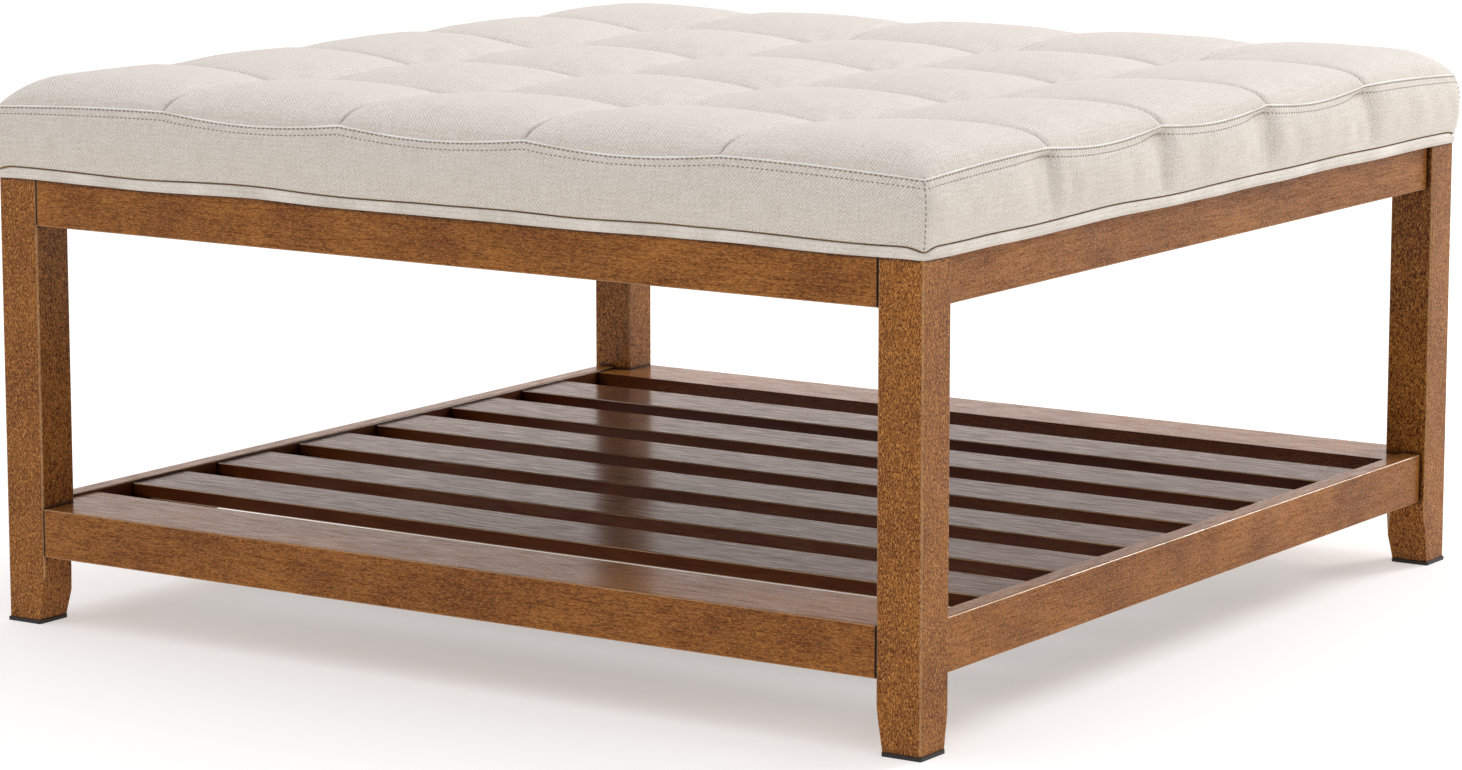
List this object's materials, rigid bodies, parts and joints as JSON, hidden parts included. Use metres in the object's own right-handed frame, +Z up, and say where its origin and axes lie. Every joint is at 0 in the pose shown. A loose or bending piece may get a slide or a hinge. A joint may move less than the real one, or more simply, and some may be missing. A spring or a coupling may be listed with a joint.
{
  "type": "ottoman coffee table",
  "caption": "Square coffee table with a biscuit-tufted upholstered top on four bolted wooden legs, with a slatted lower shelf.",
  "frame": {"origin": "on the floor, under the middle of the table", "axes": "+X to the right along the front edge, +Y to the back, +Z up"},
  "size_m": [0.913, 0.913, 0.4625],
  "materials": {
    "stained_wood": "stained walnut brown under satin lacquer",
    "plain_hardwood": "planed, unstained",
    "plywood": "sanded plywood",
    "foam": "open-cell foam",
    "linen": "ivory linen-look weave",
    "black_cloth": "black non-woven cloth",
    "twine": "waxed twine",
    "black_plastic": "moulded black plastic",
    "zinc_steel": "zinc plated"
  },
  "bodies": {
    "root": {"leg_front_left": "stained_wood", "glide_front_left": "black_plastic", "top_corner_block_front_left": "plain_hardwood", "shelf_corner_block_front_left": "plain_hardwood", "leg_front_right": "stained_wood", "glide_front_right": "black_plastic", "top_corner_block_front_right": "plain_hardwood", "shelf_corner_block_front_right": "plain_hardwood", "leg_back_left": "stained_wood", "glide_back_left": "black_plastic", "top_corner_block_back_left": "plain_hardwood", "shelf_corner_block_back_left": "plain_hardwood", "leg_back_right": "stained_wood", "glide_back_right": "black_plastic", "top_corner_block_back_right": "plain_hardwood", "shelf_corner_block_back_right": "plain_hardwood", "apron_front": "stained_wood", "shelf_rail_front": "stained_wood", "apron_back": "stained_wood", "shelf_rail_back": "stained_wood", "apron_left": "stained_wood", "shelf_rail_left": "stained_wood", "apron_right": "stained_wood", "shelf_rail_right": "stained_wood", "slat_cleat_left": "stained_wood", "slat_cleat_right": "stained_wood", "shelf_slat_1": "stained_wood", "shelf_slat_2": "stained_wood", "shelf_slat_3": "stained_wood", "shelf_slat_4": "stained_wood", "shelf_slat_5": "stained_wood", "shelf_slat_6": "stained_wood", "top_deck": "plywood", "foam_pad": "foam", "tufted_cover": "linen", "cushion_welt": "linen", "dust_cover": "black_cloth", "tuft_ties": "twine", "tie_discs": "black_plastic", "leg_bolts": "zinc_steel", "flat_washers": "zinc_steel", "spring_washers": "zinc_steel", "threaded_inserts": "zinc_steel", "block_screws": "zinc_steel", "deck_screws": "zinc_steel", "slat_screws": "zinc_steel", "cleat_screws": "zinc_steel", "glide_nails": "zinc_steel"}
  },
  "joints": []
}
